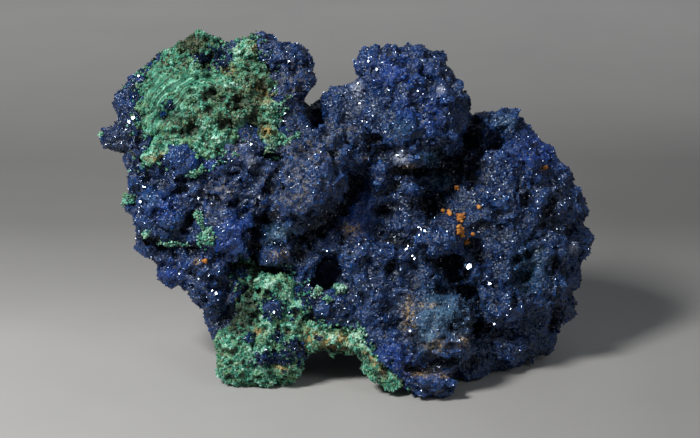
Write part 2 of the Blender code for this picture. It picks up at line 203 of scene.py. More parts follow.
def in_edit_mode(piece, *steps):
    """Runs edit-mode steps on the whole of a piece."""
    pick_up(piece)
    bpy.ops.object.mode_set(mode="EDIT")
    for step in steps:
        bpy.ops.mesh.select_all(action="SELECT")
        step()
    bpy.ops.object.mode_set(mode="OBJECT")


def copy_of(node, name):
    """A copy of a frame solid, with its loose triangles merged."""
    piece = bpy.data.objects.new(name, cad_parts[node].data.copy())
    bpy.context.scene.collection.objects.link(piece)
    piece.data.materials.clear()
    in_edit_mode(piece, lambda: bpy.ops.mesh.remove_doubles(threshold=1e-6))
    return piece


def use(piece, kind, **settings):
    """Adds a modifier, sets it and applies it."""
    pick_up(piece)
    bpy.ops.object.modifier_add(type=kind)
    modifier = piece.modifiers[-1]
    for key, value in settings.items():
        setattr(modifier, key, value)
    bpy.ops.object.modifier_apply(modifier=modifier.name)


def fuse(piece, grain):
    """Melts what a piece holds into one closed skin of squares about a grain wide."""
    use(piece, "REMESH", mode="VOXEL", voxel_size=grain * MM, adaptivity=0.0)


def numbers(items, key, width, kind=np.float32):
    """One property of many mesh items, as an array."""
    found = np.empty(len(items) * width, kind)
    items.foreach_get(key, found)
    return found.reshape(-1, width) if width > 1 else found


def points_of(piece):
    return numbers(piece.data.vertices, "co", 3).astype(float)


def normals_of(piece):
    return numbers(piece.data.vertices, "normal", 3).astype(float)


def triangles_of(piece):
    piece.data.calc_loop_triangles()
    return numbers(piece.data.loop_triangles, "vertices", 3, np.int32)


def skin_of(piece):
    """A search tree of a piece's surface."""
    return BVHTree.FromPolygons(points_of(piece).tolist(), triangles_of(piece).tolist())


def slow_noise(points, size, seed):
    """Smooth noise from 0 to 1 with features of this size."""
    shift = Vector((seed * 7.3, seed * 3.1, seed * 5.7))
    found = [noise.noise(Vector(p) / (size * MM) + shift) for p in points]
    return np.clip(np.array(found) * 0.9 + 0.5, 0.0, 1.0)


def seen_from_front(points, tree, slack=0.6):
    """True for points that the camera sees, or that lie at most slack mm behind those."""
    eye = camera.location
    seen = np.zeros(len(points), bool)
    for i, p in enumerate(points):
        spot = Vector(p)
        ray = spot - eye
        hit = tree.ray_cast(eye, ray.normalized())[3]
        seen[i] = hit is None or hit > ray.length - slack * MM
    return seen


def write_masks(piece, masks):
    """Stores numbers for each point of a mesh, by name, for its material to read."""
    for name, values in masks.items():
        layer = piece.data.attributes.new(name, "FLOAT", "POINT")
        layer.data.foreach_set("value", np.asarray(values, np.float32))


def report(piece):
    print(f"{piece.name}: {len(triangles_of(piece))} triangles")


# %% [markdown]
# ## The ground the crystals grow on
#
# The lobes carry lumps the size of a pea, with dark crevices between them, and the stone is
# known by those. So each is listed as an oval spot on the face, and all are later raised or
# cut at once. They could be sculpted, but a list can be read and measured.

# %% Lumps and crevices
BALLS = [  # lumps that stand out further
    (-26.3, 38.2, 2.1, 2.5), (-16.4, 38.8, 2.8, 2.5), (-11.6, 22.6, 2.5, 1.7), (14.3, 25, 2.6, 2.4),
    (13.8, 2.6, 3.4, 1.6), (-20.7, 16.4, 1.7, 1.4), (11, 54.6, 2.2, 2.2), (-5.2, 34.6, 8, 5.2, 57),
    (-19.8, 27, 4.6, 4.6),
]
LUMPS = [
    (-37, 42, 2.6, 2.2), (-20.8, 36.8, 1.8, 1.5), (-31.8, 37, 2.2, 1.5), (-30.6, 31.8, 2.4, 2.6),
    (-28, 28.6, 2.2, 2.2), (-24, 33.8, 2, 1.6), (-18.3, 32.8, 2.6, 2), (-18.6, 26.6, 3.9, 4),
    (-26.7, 22.3, 2.6, 1.7), (-28, 19.4, 2.6, 1.6), (-23.2, 18, 2.4, 1.6), (-20.6, 21.6, 2.2, 2.2),
    (-10.3, 26.6, 2.3, 2.1), (-8, 32, 3, 2.6), (-2.6, 24.4, 2.6, 1.6), (-7.6, 18.5, 1.3, 1.8),
    (-7, 13.8, 1.6, 1.9), (-3.9, 14, 1.8, 1.6), (-7.8, 55.6, 2.8, 2.4), (-6.3, 50.8, 2.2, 2.8),
    (-12.3, 55.8, 2.6, 2.4), (5.4, 53.8, 3.9, 3), (13.3, 53.3, 2.8, 2.6), (16.2, 49.3, 2.5, 2.2),
    (9.6, 43.6, 3.2, 2.6), (15, 43, 1.8, 2.6), (4.6, 46.8, 2.4, 3), (12.7, 38.3, 2.6, 1.4),
    (8.8, 38.4, 1.6, 1.6), (5.5, 36.6, 2.6, 1.3), (1.2, 43, 2.4, 2), (11, 33, 2.2, 1.5),
    (1.2, 37.5, 2.5, 2.3), (26, 44.5, 2.8, 2), (23.5, 37.5, 3, 2.5), (30.5, 37, 2.6, 2.6),
    (36, 31, 2.2, 3.6), (30.5, 28, 2.4, 2.4), (36.8, 23.5, 2.2, 2.8), (26, 30.5, 2.2, 2),
    (31.5, 18.5, 2.6, 2.4), (36, 13.5, 1.8, 2.2), (25, 20, 2.3, 2), (26, 13.5, 2.8, 3.2),
    (27, 7.3, 3, 2.4), (5, 23, 2.4, 2.4), (1.8, 19.5, 1.8, 2.2), (9.3, 19.8, 1.8, 1.6),
    (15.2, 12.6, 5, 4.8), (6.3, 8.2, 3.6, 3.4), (3.2, 13.7, 2.2, 2),
]
CREVICES = [
    (-12.6, 33.4, 1.6, 0.4, 35), (-11.3, 36.3, 1.6, 0.35, 50), (-26.6, 33.2, 1.4, 0.35, 10),
    (-12, 39, 1.8, 0.4, -10), (-25.2, 28.2, 1.6, 0.4, 60), (-14.6, 26, 4.2, 0.45, 85),
    (-12.9, 28.9, 1.4, 0.6, -30), (-7.3, 22.3, 1.1, 1, 0), (-3.6, 28.5, 5.5, 1.1, 50),
    (-14.2, 20.9, 1.8, 0.5, 10), (-30.8, 24.8, 2.6, 0.5, -25), (-25, 24.2, 2.2, 0.6, -10),
    (-33.3, 42, 1.6, 0.4, 100), (17.5, 37.2, 3.4, 2.2, -10), (10.5, 36.4, 3.6, 0.7, 0),
    (14.2, 31.4, 1.9, 1.3, 0), (6.2, 30.6, 1.3, 0.9, 0), (3.9, 41.2, 1.3, 0.9, 60),
    (20.7, 43, 2.8, 0.9, 90), (-0.3, 31.5, 3.2, 0.8, 60), (33.4, 30.6, 2.7, 0.6, 60),
    (29.2, 32, 1.3, 0.5, 70), (15.6, 21.4, 2.6, 1.5, -20), (18.8, 19.4, 1.4, 0.8, 0),
    (7.2, 20.2, 1, 0.8, 0), (22.6, 27.2, 1.6, 0.6, 0), (29.4, 22.9, 2.1, 0.5, 30),
    (8.2, 25.6, 1.5, 0.8, 0), (22, 23, 0.9, 0.9, 0), (21, 13.8, 3.8, 0.4, 90), (28.8, 19, 1, 0.7, 0),
    (14.5, 4.8, 3.2, 0.5, 5), (18, 11.9, 1.1, 0.35, 40), (33.5, 20.5, 2, 0.5, 80),
    (33.8, 12.5, 1.6, 0.5, 80), (-18.6, 35.8, 1.8, 0.3, 15),
]
# The ground's colour is painted darker in these places, as painted shade under overhangs.
SHADY = [  # places that lie in the shade of an overhang
    (-37.2, 41.7, 3.2, 2.4), (-33.6, 41.4, 1.5, 1.5), (31.5, 6.5, 3, 3), (35.6, 12.5, 1.6, 2.6),
    (12, 30.5, 4.5, 2.6), (18.5, 35.5, 4, 3), (-12.5, 21, 3.4, 1), (-20, 10.5, 1.2, 3.2),
    (21.5, 39.5, 1.2, 4), (-3.5, 28.5, 5.5, 1.8, 50), (33.5, 29.5, 1.2, 4, -20), (24.5, 26, 3, 1),
    (5, 18, 1.6, 1.2), (22.5, 9.5, 2, 4),
]
print(len(BALLS + LUMPS), "lumps and", len(CREVICES), "crevices")

# %% [markdown]
# Four tools shape a skin. A smoothed copy tells where it lies high and low. A push moves it
# in or out. The lumps become domes with a crease round each. And a Voronoi pattern, the
# distance to the nearest of many scattered seeds, is just what small packed lumps look
# like, so a Displace modifier reads those from it.

# %% Shaping a skin
BALL_RISE, LUMP_RISE, LUMP_CREASE = 1.3, 0.6, 0.55  # mm
CREASE_PLACE, CREASE_WIDTH = 1.12, 0.16  # as shares of the lump's radius
RIM_WANDER, CREVICE_WANDER = 0.9, 1.8  # how ragged the rims of lumps and crevices are
CREVICE_DEPTH = 1.9
FRONT_REACH = 4.0  # mm behind the visible skin that still moves with it


def lump_pattern(name, size):
    """A pattern of round lumps about this size across, light at each lump's rim."""
    pattern = bpy.data.textures.new(name, "VORONOI")
    pattern.noise_scale = size * MM
    pattern.distance_metric = "DISTANCE_SQUARED"
    return pattern


def relief_of(piece, steps):
    """How far each point stands above a smoothed copy of the piece, in millimetres."""
    soft = bpy.data.objects.new("soft", piece.data.copy())
    bpy.context.scene.collection.objects.link(soft)
    use(soft, "SMOOTH", factor=0.5, iterations=steps)
    rise = np.einsum("ij,ij->i", points_of(piece) - points_of(soft), normals_of(piece)) / MM
    bpy.data.objects.remove(soft)
    return rise


def move_to(piece, points):
    piece.data.vertices.foreach_set("co", points.astype(np.float32).ravel())
    piece.data.update()


def push(piece, distances):
    """Moves each point along its normal, in millimetres, but never below the table."""
    moved = points_of(piece) + normals_of(piece) * (distances * MM)[:, None]
    moved[:, 2] = np.maximum(moved[:, 2], 0.0)
    move_to(piece, moved)


def model_lumps(piece):
    """Raises the named lumps as domes with a crease round each, and cuts the crevices."""
    points = points_of(piece)
    front = seen_from_front(points, skin_of(piece), FRONT_REACH)
    wobble = slow_noise(points, 1.6, 31) - 0.5
    rise, crease = np.zeros(len(points)), np.zeros(len(points))
    for lump in LUMPS + BALLS:
        radius = radius_in(points, lump) + RIM_WANDER * wobble
        height = BALL_RISE if lump in BALLS else LUMP_RISE
        rise = np.maximum(rise, np.sqrt(np.maximum(1.0 - radius ** 2, 0.0)) * height)
        crease = np.maximum(crease, np.exp(-((radius - CREASE_PLACE) / CREASE_WIDTH) ** 2))
    cut = spots_mask(points, CREVICES, CREVICE_WANDER * wobble)
    off_lumps = rise < 0.2
    push(piece, (rise - LUMP_CREASE * crease * off_lumps) * front)
    move_to(piece, points_of(piece) + np.outer(cut * front * CREVICE_DEPTH * MM, DEEP))
    return cut * front


# %% [markdown]
# Now the ground itself. The solid is fused into an even skin, and its own creases are cut
# deeper, as an unsharp mask does to a picture. The lumps and crevices follow, then two
# Voronoi grains, and last a number for each point, how high and well lit it lies. Its colour
# follows that number as painted light and shade: lighter on rises, darker in creases, in
# the crevices and under overhangs.

# %% The azurite ground
GROUND_GRAIN = 0.56
CREASE_REACH = 30  # smoothing steps that set how wide a crease counts
CREASE_GAIN, SWELL_GAIN, DEEPEST_CREASE = 1.7, 0.25, 1.6
GRAINS = {"rosettes": (2.4, 0.95), "fine_lumps": (1.0, 0.45)}  # size and height, in mm
# Painted light and shade on the ground: a middle tone, lighter on rises, darker in creases, crevices and
# under overhangs.
MIDDLE_LIGHT, RELIEF_LIGHT_GAIN = 0.65, 0.42
CREVICE_PAINTED_SHADE, OVERHANG_PAINTED_SHADE = 0.6, 0.28

ground = copy_of("azurite_mass", "azurite_ground")
fuse(ground, GROUND_GRAIN)
use(ground, "SMOOTH", factor=0.5, iterations=1)
hollow = relief_of(ground, CREASE_REACH)
push(ground, np.maximum(np.where(hollow < 0.0, CREASE_GAIN, SWELL_GAIN) * hollow, -DEEPEST_CREASE))
crevice = model_lumps(ground)
for title, (size, height) in GRAINS.items():
    use(ground, "DISPLACE", texture=lump_pattern(title, size), mid_level=0.1, strength=-height * MM)
push(ground, np.zeros(len(crevice)))
rise = relief_of(ground, CREASE_REACH)
shady = spots_mask(points_of(ground), SHADY)
# Painted light and shade: rises lighter; creases, crevices and overhung places darker.
level = MIDDLE_LIGHT + rise * RELIEF_LIGHT_GAIN - crevice * CREVICE_PAINTED_SHADE - shady * OVERHANG_PAINTED_SHADE
level = np.clip(level, 0.0, 1.0)
print("ground rises and falls by", np.round(np.percentile(rise, [1, 50, 99]), 2), "mm")
report(ground)

# %% [markdown]
# ## Four crystals
#
# Azurite grows as squat, flat-faced prisms with slanted ends. Four shapes are enough, since
# size, turn and tilt make every copy different. Each is a prism whose top a slanted plane
# cuts off in edit mode: crisp facets from only a dozen triangles.


# %% Crystal shapes
def cut_crystal(name, sides, size, cut_height, cut_way):
    """A prism of this many sides and this size, whose top a slanted plane takes off."""
    bpy.ops.object.select_all(action="DESELECT")
    bpy.ops.mesh.primitive_cylinder_add(vertices=sides, radius=0.5, depth=1.0, rotation=(0.0, 0.0, 0.3))
    piece = bpy.context.object
    piece.name = name
    piece.scale = size
    bpy.ops.object.transform_apply(location=False, rotation=True, scale=True)

    def take_off_top():
        bpy.ops.mesh.bisect(
            plane_co=(0.0, 0.0, cut_height), plane_no=cut_way, use_fill=True, clear_outer=True)

    in_edit_mode(piece, take_off_top)
    in_edit_mode(piece, lambda: bpy.ops.mesh.normals_make_consistent(inside=False))
    shape = points_of(piece), triangles_of(piece)
    bpy.data.objects.remove(piece)
    print(name, "has", len(shape[1]), "triangles")
    return shape


CRYSTALS = [
    cut_crystal("blade", 4, (0.55, 1.35, 1.4), 0.3, (0.2, 0.42, 0.88)),
    cut_crystal("block", 4, (1.15, 1.0, 1.3), 0.25, (0.42, 0.3, 0.86)),
    cut_crystal("wedge", 3, (0.9, 1.15, 1.4), 0.25, (0.35, -0.35, 0.87)),
    cut_crystal("splinter", 3, (0.6, 0.8, 1.6), 0.35, (0.3, 0.5, 0.81)),
]

# %% [markdown]
# ## Growing the druse
#
# A druse is a carpet of crystals on a lumpy ground. Geometry Nodes could scatter them, but
# plain arrays keep a number for each crystal that its colour can use. A place is drawn for
# each cell of a fine grid, so no two share a spot, and each stands along the ground's
# normal with a random lean.

# %% Scattering
DICE = np.random.default_rng(41)


def unit(vectors):
    return vectors / np.linalg.norm(vectors, axis=1)[:, None]


def scattered(piece, spacing, carried=None):
    """Points about a spacing apart on a piece's skin, their normals, and a carried value."""
    points, normals, corners = points_of(piece), normals_of(piece), triangles_of(piece)
    a, b, c = (points[corners[:, i]] for i in range(3))
    area = np.linalg.norm(np.cross(b - a, c - a), axis=1) / 2.0
    tries = int(5.0 * area.sum() / (spacing * MM) ** 2)
    face = DICE.choice(len(corners), tries, p=area / area.sum())
    share = DICE.dirichlet((1.0, 1.0, 1.0), tries)
    spots = np.einsum("ij,ijk->ik", share, points[corners[face]])
    ways = np.einsum("ij,ijk->ik", share, normals[corners[face]])
    cells = np.floor(spots / (spacing * MM)).astype(np.int64)
    _, first = np.unique(cells, axis=0, return_index=True)
    first.sort()
    if carried is None:
        carried = np.zeros(len(points))
    values = (share * carried[corners[face]]).sum(axis=1)
    return spots[first], unit(ways[first]), values[first]


def turns(ways, lean):
    """Turns that stand each copy along its way, leaning at random and spun at random."""
    up = unit(ways + DICE.normal(0.0, lean, ways.shape))
    side = unit(np.cross(up, DICE.normal(0.0, 1.0, ways.shape)))
    return np.stack([side, np.cross(up, side), up], axis=2)


def joined(name, shapes, choice, spots, turn, sizes, masks):
    """One piece made of many copies, each with its own masks."""
    made_points, made_faces, owner, count = [], [], [], 0
    for index, (points, faces) in enumerate(shapes):
        chosen = np.flatnonzero(choice == index)
        if not len(chosen):
            continue
        local = points[None, :, :] * sizes[chosen][:, None, :]
        moved = np.einsum("nij,nkj->nki", turn[chosen], local) + spots[chosen][:, None, :]
        steps = np.arange(len(chosen))[:, None, None] * len(points) + count
        made_points.append(moved.reshape(-1, 3))
        made_faces.append((faces[None, :, :] + steps).reshape(-1, 3))
        owner.append(np.repeat(chosen, len(points)))
        count += len(chosen) * len(points)
    points, faces, owner = (np.concatenate(part) for part in (made_points, made_faces, owner))
    points[:, 2] = np.maximum(points[:, 2], 0.0)
    mesh = bpy.data.meshes.new(name)
    mesh.vertices.add(len(points))
    mesh.vertices.foreach_set("co", points.ravel())
    mesh.loops.add(faces.size)
    mesh.loops.foreach_set("vertex_index", faces.ravel().astype(np.int32))
    mesh.polygons.add(len(faces))
    mesh.polygons.foreach_set("loop_start", np.arange(0, faces.size, 3, dtype=np.int32))
    mesh.update(calc_edges=True)
    mesh.shade_flat()
    piece = bpy.data.objects.new(name, mesh)
    bpy.context.scene.collection.objects.link(piece)
    write_masks(piece, {key: values[owner] for key, values in masks.items()})
    report(piece)
    return piece


# %% [markdown]
# ## Where the stone changes
#
# The blue isn't even: some lumps are royal blue, some dusty or greenish, and some rims
# carry pale spots that are painted highlights. Each kind of change is a short list of soft
# spots on the face, and the hidden sides get theirs from slow noise, so that the stone is
# as varied there.

# %% Patches
PATCHES = {
    "royal": [
        (-29.8, 31, 3.2, 2.2), (-16.9, 26.9, 2.9, 2.3), (-27.9, 20.2, 2.3, 1.6), (8.9, 5.6, 3.5, 2.9),
        (7.3, 7.6, 2.3, 1.6), (-31.5, 48.7, 2.3, 2.6), (8.1, 52.7, 4.8, 2.6), (12.1, 45.5, 4.2, 3.2),
        (0.8, 29.4, 3.9, 3.2), (31.5, 39.8, 4.8, 3.2), (-23, 39.4, 2.6, 2.8), (-20.4, 24.6, 3, 2.4),
    ],
    # Painted highlights: pale spots along the lit rims of lumps.
    "pale": [
        (2, 49.9, 0.8, 1.2), (2.3, 47, 0.45, 0.6), (8.8, 38.6, 1.1, 1.1), (15.4, 49.6, 0.6, 0.5),
        (-17.2, 41, 1.8, 0.4), (10.4, 37.2, 1.2, 0.4), (36.9, 24, 0.5, 0.8), (-15, 37.8, 0.6, 0.9),
        (-2.8, 42.3, 0.7, 0.5),
    ],
    "dust": [
        (-18.2, 39.8, 2.9, 1.6), (-20.2, 33.4, 3.5, 1.6), (-5.6, 39.8, 4.8, 2.6), (-7.3, 33.4, 4.2, 4.2),
        (-8.1, 51.1, 2.6, 3.2), (-1.1, 43.1, 2.9, 1.3), (0.8, 26.9, 1.9, 1.3), (-22.6, 29.4, 2.3, 1.3),
        (-21, 54.4, 1.6, 1.3),
    ],
    "teal": [
        (-12.1, 26.1, 1.6, 1.6), (9.6, 43.6, 2.6, 1.8), (13.6, 38.4, 2, 1), (26, 44.2, 2, 1.2),
        (29.8, 20.5, 2.8, 3.4), (15.3, 35, 1.9, 1.6), (-31.5, 31.8, 1.3, 1.3),
    ],
    "weathered": [
        (15.6, 13.6, 4.4, 3.9), (13.2, 9.8, 2.4, 3), (-10.2, 26.6, 1.4, 1.2),
    ],
    "ochre": [
        (10.2, 37, 1.2, 0.5), (14.7, 8.2, 1.6, 1), (10.4, 13.4, 0.9, 3), (19, 9, 0.9, 1),
        (14.2, 14.8, 0.7, 0.5), (12.3, 14.8, 1, 0.4), (12.6, 3.7, 1.6, 0.5), (15.6, 3.4, 1.4, 0.4),
        (-23.9, 21.8, 0.6, 0.6), (-10.6, 22.8, 1.2, 0.7), (0.9, 27.2, 1.3, 0.8), (3.2, 38.4, 0.4, 0.4),
        (24, 40.3, 0.2, 0.6), (32, 36.8, 0.4, 0.3),
    ],
}
# The ground between the crystals gets a lower tint, as painted shade for the gaps.
SHADED_GROUND_TINT = 0.4
HIDDEN_SIZE = 7.0  # mm, how large the changes are on the sides that the face doesn't show
HIDDEN_SHARE = {"royal": 0.9, "pale": 0.25, "dust": 0.8, "teal": 0.9, "weathered": 0.4, "ochre": 0.4}


def patch_masks(points, tree):
    """The masks of every kind of change at these points."""
    seen = seen_from_front(points, tree)
    masks = {}
    for number, (kind, spots) in enumerate(PATCHES.items()):
        front = spots_mask(points, spots)
        behind = np.clip((slow_noise(points, HIDDEN_SIZE, number + 1) - 0.66) * 3.0, 0.0, 1.0)
        masks[kind] = np.where(seen, front, behind * HIDDEN_SHARE[kind])
    return masks


ground_skin = skin_of(ground)
write_masks(ground, {
    **patch_masks(points_of(ground), ground_skin),
    "tint": np.full(len(level), SHADED_GROUND_TINT), "level": level, "shine": np.zeros(len(level)),
})
print("kinds of change:", list(PATCHES))

# %% [markdown]
# Now the carpet itself. Lengths follow a skewed spread, many small crystals and a few
# large, each sunk a little so that it grows out of the ground. The few that have outgrown
# their neighbours are a second, much sparser draw. The carpet is kept in three pieces, one
# for each lobe, so that no mesh gets too heavy.

# %% The druse
# Millimetres, but sink, how deep a crystal's middle sits, is a share of its length.
CARPET = {"spacing": 0.62, "smallest": 0.38, "largest": 0.98, "skew": 4.0, "sink": 0.2}
OUTGROWN = {"spacing": 2.7, "smallest": 0.8, "largest": 1.25, "skew": 1.5, "sink": 0.3}
DRUSE_LEAN = 0.38
LOBE_BORDERS = (-9.0, 14.0)  # across, between the left, centre and right lobes


def crystals(spacing, smallest, largest, skew, sink):
    """A draw of crystals on the ground: shape, place, turn, size and masks of each."""
    spots, ways, height = scattered(ground, spacing, level)
    amount = len(spots)
    length = smallest + (largest - smallest) * DICE.random(amount) ** skew
    girth = length * DICE.uniform(0.6, 1.05, amount)
    masks = patch_masks(spots, ground_skin)
    masks.update(tint=DICE.random(amount), level=height, shine=DICE.random(amount))
    return [
        DICE.integers(0, len(CRYSTALS), amount), spots - ways * (length * sink * MM)[:, None],
        turns(ways, DRUSE_LEAN), np.stack([girth, girth, length], axis=1) * MM,
        np.stack(list(masks.values()), axis=1),
    ]


KINDS = (*PATCHES, "tint", "level", "shine")
druse = [np.concatenate(pair) for pair in zip(crystals(**CARPET), crystals(**OUTGROWN))]
lobe = np.searchsorted(LOBE_BORDERS, druse[1][:, 0] / MM)
druses = []
for number, name in enumerate(("druse_left", "druse_centre", "druse_right")):
    *how, masks = (part[lobe == number] for part in druse)
    druses.append(joined(name, CRYSTALS, *how, dict(zip(KINDS, masks.T))))
print(len(lobe), "crystals grown")

# %% [markdown]
# A few large clean faces lie just so that they mirror the lamp straight at the viewer.
# A face does that when it is square to the line halfway between the two, so these crystals
# aren't turned by chance: each stands along that line. Tiny ones, the specks, are strewn
# between them where the ground stands high.

# %% Mirror faces
MIRRORS = [  # across, up and size
    (-34, 44.8, 1.2), (-33.1, 46.3, 0.7), (-33.2, 51.6, 0.45), (-21.5, 54.8, 0.45), (-8.9, 54, 0.45),
    (-32.3, 33.7, 0.6), (-32.9, 31.3, 0.8), (-23.5, 31.9, 0.5), (-20.6, 23.1, 0.65), (-19.7, 23.1, 0.5),
    (-21.9, 19.5, 0.6), (-23.5, 18.9, 0.4), (-26.6, 19.7, 0.45), (-20.6, 16.5, 0.9), (-11.3, 13.5, 0.5),
    (3.9, 54, 0.45), (5.3, 52.7, 0.65), (11.9, 49.2, 0.45), (15.3, 41.5, 0.4), (18.1, 40.2, 0.45),
    (14, 29.4, 0.4), (12.4, 26.9, 0.45), (10, 23.7, 0.5), (11, 22.6, 0.6), (20.2, 20.8, 1.2),
    (23.5, 18.1, 0.7), (24.2, 11.6, 0.45), (26.3, 13.1, 0.4), (10.6, 10.5, 0.45), (19, 11.6, 0.75),
    (-15, 40.6, 0.5), (-9.6, 45.6, 0.45), (12, 27.2, 0.5), (13, 26.6, 0.6), (12.1, 26, 0.4),
    (11.3, 22.2, 0.5), (-34.7, 44.2, 0.7), (19.5, 21.2, 0.6), (10.3, 24.2, 0.45), (-21.3, 17, 0.5),
    (-2.8, 23.4, 0.4), (-2.2, 23, 0.35), (2.2, 50.4, 0.5), (2.5, 47.2, 0.5), (8.6, 38.8, 0.5),
    (9.4, 39.6, 0.4), (31, 39.4, 0.45),
]
MIRROR_SCALE = 0.7
MIRROR_LIFT, MIRROR_LIFT_GAIN = 0.35, 0.2  # mm over the ground, and more for each mm of size
MIRROR_LEAN = 0.004
SPECK_SPACING, SPECK_SIZES, SPECK_LEVEL = 3.0, (0.05, 0.15), 0.45
plate = cut_crystal("plate", 5, (1.0, 1.2, 1.0), 0.3, (0.0, 0.0, 1.0))


def under_sight(across, up, tree):
    """The point of a surface that the camera sees at this place on the face."""
    way = (place(across, up) - camera.location).normalized()
    return tree.ray_cast(camera.location, way)[0]


faces = [(under_sight(a, u, ground_skin), size) for a, u, size in MIRRORS]
faces = [(spot, size * MIRROR_SCALE) for spot, size in faces if spot is not None]
specks, _, height = scattered(ground, SPECK_SPACING, level)
specks = specks[seen_from_front(specks, ground_skin) & (height > SPECK_LEVEL)]
faces += [(spot, size) for spot, size in zip(specks, DICE.uniform(*SPECK_SIZES, len(specks)))]
mirror_spots = np.array([spot for spot, _ in faces])
mirror_sizes = np.array([size for _, size in faces])
to_lamp = unit(np.array(lamps["key_lamp"].location) - mirror_spots)
halfway = unit(to_lamp + unit(EYE - mirror_spots))
lift = halfway * ((MIRROR_LIFT + mirror_sizes * MIRROR_LIFT_GAIN) * MM)[:, None]
mirrors = joined(
    "mirror_crystals", [plate], np.zeros(len(faces), int), mirror_spots + lift,
    turns(halfway, MIRROR_LEAN),
    mirror_sizes[:, None] * DICE.uniform(0.6, 1.25, (len(faces), 3)) * MM,
    # Painted highlight: these crystals get a high tint and full light, so their colour is pale as well
    # as mirrored.
    {"tint": np.full(len(faces), 0.8), "level": np.ones(len(faces)),
     "shine": np.ones(len(faces)), "clean": np.ones(len(faces))},
)

# %% [markdown]
# ## Malachite crusts
#
# Malachite has grown over the azurite as a spongy green crust: a lace of ridges round dark
# pits, beaded with crumbs a few tenths of a millimetre across. The lace is a Voronoi pattern
# read the other way round: cell borders stay high and cell middles sink. The crumbs are a
# twenty-sided ball, copied and squashed at random.

# %% Crumbs
bpy.ops.object.select_all(action="DESELECT")
bpy.ops.mesh.primitive_ico_sphere_add(subdivisions=1, radius=1.0, location=(0.0, 0.0, 0.0))
ball = bpy.context.object
in_edit_mode(ball, lambda: bpy.ops.transform.vertex_random(offset=0.16, seed=3))
CRUMB = points_of(ball), triangles_of(ball)
bpy.data.objects.remove(ball)
print("a crumb has", len(CRUMB[1]), "triangles")

# %% [markdown]
# The crusts differ from place to place too: a smooth banded sheet at the upper left, pits,
# a thin rim at the foot, and parts that are olive, mossy or stained with iron. Some parts are
# painted shade where a crust lies in shadow, and the pale parts are partly pale green and
# partly painted light. All are oval spots again, so the same functions read them.

# %% Parts of the crusts
SHEET = [(-29, 48.7, 3.4, 3.6), (-30.8, 45, 1.2, 2.4), (-24.2, 51.1, 3.6, 1.6)]
PITS = [
    (-14.4, 43.9, 1.3, 1.6), (-25, 43.2, 1.2, 0.8), (-17.2, 47.4, 1, 0.9), (-21.5, 49, 1.4, 0.6),
    (-27.4, 45.3, 1, 0.8), (-19, 44, 0.9, 0.5), (-22.3, 53.6, 0.8, 1.2), (-15.6, 15, 1, 4.5),
    (-13.6, 50.2, 1, 0.8),
]
THIN = [(4.6, 6.4, 4.2, 1.6, -52), (-3, 7.2, 4, 1.2, 0)]
SHEET_CENTRE = (-21.0, 41.0)  # the sheet's ridges run round this place
RIDGE_STEP, RIDGE_HEIGHT = 0.62, 0.08
GREENS = {
    # Painted shade: dark spots where the crust lies in shadow and in its pits.
    "shade": [
        (-15.8, 15.2, 1.3, 5), (-17.9, 13.4, 1.6, 2.6), (-15.5, 20.8, 2.4, 1), (-14.4, 43.9, 1.5, 1.9),
        (-25, 43.2, 1.4, 1), (-17.2, 47.4, 1.3, 1.1), (-21.5, 49, 1.7, 0.9), (-24.5, 57.3, 2.4, 1.2),
        (-22.3, 53.8, 1, 1.4), (-19, 44, 1.2, 0.7), (-27.5, 45.5, 1.3, 1.1), (-13.5, 50.3, 1.3, 1.1),
    ],
    "olive": [
        (-14.4, 49.3, 2.2, 4), (-16.5, 49.5, 1.6, 2.4), (-18.2, 45.2, 2.6, 1.6), (-23, 45.3, 2.4, 1.3),
        (-24.6, 57, 2.4, 1.5), (-26.4, 44.2, 2, 1.4), (-21, 49.6, 2.8, 1.1), (-8, 5.6, 3.4, 0.9, 10),
        (-12.6, 53, 1.5, 2), (-14.2, 42, 2.6, 2.8),
    ],
    # Partly pale green, partly painted light where the crust lies in shade.
    "pale": [
        (-7.5, 6.4, 3.6, 0.9, 10), (-2.5, 7.2, 3.4, 0.9), (-15.5, 6.5, 4, 2.6), (2.5, 9, 3.2, 1.8),
        (-3, 9.4, 4, 1.6), (-12.9, 10.5, 1.8, 2.4), (-12.7, 18.4, 2, 1.4), (-16.5, 5.2, 2.6, 1.1),
        (-9, 15.5, 0.8, 2.6), (-5, 16.5, 1.4, 0.8), (-0.5, 17.4, 1.2, 0.9), (-18.5, 9.2, 1.6, 1.2),
        (-28.6, 39.8, 2.4, 1.8), (-22.8, 42.6, 1.8, 1.4), (-21.8, 41.4, 1.8, 0.9), (-17.3, 55.5, 1.5, 2),
        (-19.6, 50.3, 2, 1.2), (-12.5, 46, 0.8, 2.5), (-16.8, 45, 1.2, 1), (-24, 47, 1.6, 1),
    ],
    "stain": [
        (-18.7, 52.7, 1.3, 0.8), (-26.3, 48.2, 0.8, 0.7), (-12.8, 48.3, 1, 1), (-11.2, 48.2, 0.6, 0.6),
        (-14.4, 56.3, 0.9, 0.7), (-12.5, 42.8, 0.8, 1.2), (-14.7, 50, 0.9, 0.7), (-29.5, 38.8, 0.8, 0.6),
        (-5.3, 9.6, 1.5, 1.2), (-3, 9, 1.4, 1.2), (-0.6, 9.2, 1.4, 1.3), (-6.6, 7.8, 1.2, 0.8),
        (-18.9, 7.3, 0.8, 0.6), (-14, 10.4, 0.8, 0.7), (4.4, 5.9, 3, 0.4, -52), (-31, 38.4, 1, 0.5),
        (-10, 4.6, 1.2, 0.5),
    ],
}
CRUMB_SKEW, CRUMB_LEAN = 1.6, 0.7


def green_masks(points):
    """The masks of the parts of the crusts at these points."""
    return {kind: spots_mask(points, spots) for kind, spots in GREENS.items()}


